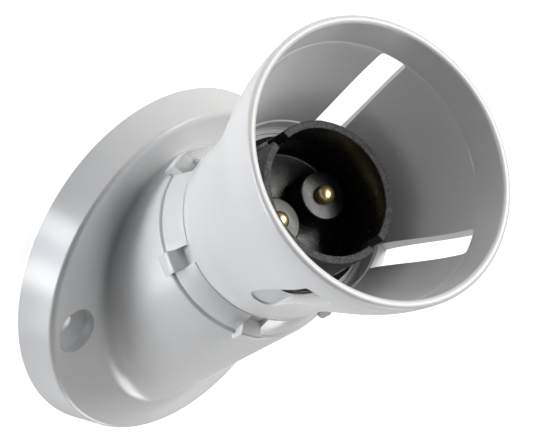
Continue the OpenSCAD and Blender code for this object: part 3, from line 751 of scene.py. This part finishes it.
class HOLDER_OT_contacts(bpy.types.Operator):
    """Makes the two brass plungers and the coil springs under them"""
    bl_idname = "holder.contacts"
    bl_label = "Plungers and springs"

    def execute(self, context):
        sizes = context.scene.holder_sizes
        for name, side in (("line", 1), ("neutral", -1)):
            low, tip, _ = reach("plunger_" + name)
            shoulder = low + 3.2 * MM
            collar_top = shoulder + 2 * MM
            tail, collar, pin, dome = 1.1 * MM, 2.4 * MM, 1.65 * MM, 1.1 * MM
            place = (0, side * sizes.plunger_place, 0)
            points = rounded([(0, low, 0), (tail, low, 0.15 * MM), (tail, shoulder, 0),
                              (collar, shoulder, 0.2 * MM), (collar, collar_top, 0.2 * MM),
                              (pin, collar_top, 0)])
            for k in range(8):
                a = k * math.pi / 16
                points.append((pin * math.cos(a) ** 0.9, tip - dome + dome * math.sin(a)))
            points.append((0, tip))
            bm = rod(points, place, 64)
            settle(on_neck(bm), "plunger_%s_pin" % name, "plunger_" + name, ["plunger_" + name], "brass")
            self.coil(name, place)
        return {"FINISHED"}

    def coil(self, name, place):
        low, high, _ = reach("spring_" + name)
        wire, turns, steps = 0.225 * MM, 8, 28
        radius = 1.775 * MM
        rise = high - low - 2 * wire
        bm = bmesh.new()
        bmesh.ops.create_circle(bm, segments=10, radius=wire)
        bmesh.ops.rotate(bm, verts=bm.verts, cent=(0, 0, 0), matrix=Matrix.Rotation(math.pi / 2, 3, "X"))
        bmesh.ops.translate(bm, verts=bm.verts, vec=(radius, 0, low + wire))
        bmesh.ops.spin(bm, geom=bm.verts[:] + bm.edges[:], cent=(0, 0, 0), axis=(0, 0, 1),
                       dvec=(0, 0, rise / (turns * steps)), angle=2 * math.pi * turns, steps=turns * steps)
        bmesh.ops.holes_fill(bm, edges=[e for e in bm.edges if e.is_boundary])
        bmesh.ops.recalc_face_normals(bm, faces=bm.faces)
        bmesh.ops.translate(bm, verts=bm.verts, vec=place)
        piece = settle(on_neck(bm), "spring_%s_coil" % name, "root", ["spring_" + name], "spring_steel")
        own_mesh(piece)


class HOLDER_OT_inner_pieces(bpy.types.Operator):
    """Softens the edges of the terminal block, the terminals and the screws"""
    bl_idname = "holder.inner_pieces"
    bl_label = "Terminals and screws"

    def execute(self, context):
        kinds = {"terminal_block": ("black_moulding", "root", 0.2)}
        for name in ("line", "neutral", "loop", "earth"):
            kinds["terminal_" + name] = ("brass", "root", 0.18)
            kinds["clamp_screw_" + name] = ("plated_steel", "clamp_screw_" + name, 0.12)
        for name in ("a", "b"):
            kinds["block_screw_" + name] = ("plated_steel", "root", 0.12)
        for node, (finish, body, width) in kinds.items():
            bm = bmesh.new()
            bm.from_mesh(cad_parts[node].data)
            bmesh.ops.remove_doubles(bm, verts=bm.verts, dist=1e-7)
            bmesh.ops.dissolve_limit(bm, angle_limit=math.radians(1), verts=bm.verts, edges=bm.edges)
            piece = settle(bm, node + "_piece", body, [node], finish)
            bevel = piece.modifiers.new("Edges", "BEVEL")
            bevel.width = width * MM
            bevel.segments = 2
            bevel.limit_method = "ANGLE"
            bevel.angle_limit = math.radians(40)
        return {"FINISHED"}


class HOLDER_OT_stage(bpy.types.Operator):
    """Makes the floor, the studio lamps, the white background and the camera"""
    bl_idname = "holder.stage"
    bl_label = "Stage"

    def execute(self, context):
        self.floor(context)
        self.world(context)
        self.lamps(context)
        self.camera(context)
        context.scene.view_settings.view_transform = "Standard"
        return {"FINISHED"}

    def floor(self, context):
        bm = bmesh.new()
        bmesh.ops.create_grid(bm, x_segments=1, y_segments=1, size=6)
        mesh = bpy.data.meshes.new("floor")
        bm.to_mesh(mesh)
        bm.free()
        floor = bpy.data.objects.new("floor", mesh)
        context.scene.collection.objects.link(floor)
        floor.location.z = -0.02 * MM
        material, tree, shader = new_material("floor")
        tree.nodes.remove(shader)
        out = tree.nodes["Material Output"]
        matt = put(tree, "ShaderNodeBsdfDiffuse")
        matt.inputs["Color"].default_value = (*context.scene.holder_colours.floor, 1)
        glow = put(tree, "ShaderNodeEmission")
        lift = put(tree, "ShaderNodeAddShader")
        mix = put(tree, "ShaderNodeMixShader")
        seen = put(tree, "ShaderNodeLightPath")
        either = put(tree, "ShaderNodeMath", operation="MAXIMUM")
        tree.links.new(seen.outputs["Is Camera Ray"], either.inputs[0])
        tree.links.new(seen.outputs["Is Transmission Ray"], either.inputs[1])
        glow.inputs["Strength"].default_value = 0.7
        tree.links.new(matt.outputs[0], lift.inputs[0])
        tree.links.new(glow.outputs[0], lift.inputs[1])
        tree.links.new(either.outputs[0], mix.inputs["Fac"])
        tree.links.new(matt.outputs[0], mix.inputs[1])
        tree.links.new(lift.outputs[0], mix.inputs[2])
        tree.links.new(mix.outputs[0], out.inputs["Surface"])
        mesh.materials.append(material)

    def world(self, context):
        world = bpy.data.worlds.new("studio")
        context.scene.world = world
        world.use_nodes = True
        tree = world.node_tree
        back = tree.nodes["Background"]
        back.inputs["Color"].default_value = (1, 1, 1, 1)
        seen = put(tree, "ShaderNodeLightPath")
        level = spread(tree, seen.outputs["Is Camera Ray"], 0, 1, WORLD_LEVEL, 1)
        tree.links.new(level, back.inputs["Strength"])

    def lamps(self, context):
        open_floor = bpy.data.collections.new("blockers")
        open_floor.objects.link(bpy.data.objects["floor"])
        open_floor.collection_objects[0].light_linking.link_state = "EXCLUDE"
        for name, (turn, height, size, power, tint, highlight_only) in LAMPS.items():
            lamp = bpy.data.lights.new(name, "AREA")
            lamp.shape = "RECTANGLE"
            lamp.size, lamp.size_y = size
            lamp.energy = power
            lamp.color = tint
            holder = bpy.data.objects.new(name, lamp)
            context.scene.collection.objects.link(holder)
            turn, height = math.radians(turn), math.radians(height)
            back = Vector((math.cos(turn) * math.cos(height), math.sin(turn) * math.cos(height),
                           math.sin(height)))
            holder.location = AIM + LAMP_DISTANCE * back
            holder.rotation_euler = back.to_track_quat("Z", "Y").to_euler()
            holder.visible_diffuse = not highlight_only
            if height < 0:
                holder.light_linking.blocker_collection = open_floor

    def camera(self, context):
        data = bpy.data.cameras.new("camera")
        data.sensor_width = 36
        data.lens = 182.36
        data.clip_start = 0.01
        camera = bpy.data.objects.new("camera", data)
        context.scene.collection.objects.link(camera)
        back = (CAMERA_PLACE - AIM).normalized()
        right = CAMERA_UP.cross(back).normalized()
        up = back.cross(right)
        turned_to = Matrix((right, up, back)).transposed().to_4x4()
        camera.matrix_world = Matrix.Translation(CAMERA_PLACE) @ turned_to
        context.scene.camera = camera


# Where the camera stands, where it looks and which way is up in the picture
CAMERA_PLACE = Vector((288.48, 269.59, 299.51)) * MM
AIM = Vector((1.95, -19.61, 9.23)) * MM
CAMERA_UP = Vector((0.8195, -0.4088, -0.4016))

# Strength of the world's light, apart from what the camera sees, which is white
WORLD_LEVEL = 0.03

# Each lamp: direction from the part and height as angles in degrees, width and height in metres, power in
# watts, tint, and whether it only shows as a highlight. The low ones stand below the floor, which doesn't
# block them.
LAMP_DISTANCE = 0.9
LAMPS = {
    "front_right": (-45, 40, (0.4, 0.4), 4.6, (1, 0.985, 0.96), False),
    "front_top": (-25, 62, (0.4, 0.4), 2.0, (1, 0.985, 0.96), False),
    "back_soft": (180, 18, (0.4, 0.4), 3.4, (1, 1, 1), False),
    "top_soft": (153, 77, (0.5, 0.5), 0.4, (1, 1, 1), False),
    "low_left": (105, -30, (0.5, 0.4), 2.85, (0.97, 0.98, 1), False),
    "low_front": (60, -40, (0.4, 0.4), 2.75, (0.97, 0.98, 1), False),
    "bar_one": (59, -14, (0.2, 0.3), 2.4, (1, 1, 1), True),
    "bar_between": (73, -14, (0.2, 0.3), 1.2, (0.75, 0.86, 1), True),
    "bar_two": (87, -14, (0.22, 0.3), 2.6, (1, 1, 1), True),
}

OPERATORS = (HOLDER_OT_base, HOLDER_OT_grip_ring, HOLDER_OT_skirt, HOLDER_OT_barrel, HOLDER_OT_contacts,
             HOLDER_OT_inner_pieces, HOLDER_OT_stage)


class HOLDER_PT_panel(bpy.types.Panel):
    """Lists the steps that build the lamp holder"""
    bl_idname = "HOLDER_PT_panel"
    bl_label = "Lamp holder"
    bl_space_type = "VIEW_3D"
    bl_region_type = "UI"
    bl_category = "Lamp holder"

    def draw(self, context):
        column = self.layout.column()
        for operator in OPERATORS:
            column.operator(operator.bl_idname)
        for group in (context.scene.holder_sizes, context.scene.holder_colours):
            for name in group.bl_rna.properties.keys():
                if name not in ("rna_type", "name"):
                    column.prop(group, name)


CLASSES = (HolderSizes, HolderColours, *OPERATORS, HOLDER_PT_panel)


def register():
    for cls in CLASSES:
        bpy.utils.register_class(cls)
    bpy.types.Scene.holder_sizes = PointerProperty(type=HolderSizes)
    bpy.types.Scene.holder_colours = PointerProperty(type=HolderColours)


def unregister():
    del bpy.types.Scene.holder_colours
    del bpy.types.Scene.holder_sizes
    for cls in reversed(CLASSES):
        bpy.utils.unregister_class(cls)


def main():
    register()
    bpy.ops.holder.base()
    bpy.ops.holder.grip_ring()
    bpy.ops.holder.skirt()
    bpy.ops.holder.barrel()
    bpy.ops.holder.contacts()
    bpy.ops.holder.inner_pieces()
    bpy.ops.holder.stage()


if __name__ == "__main__":
    main()
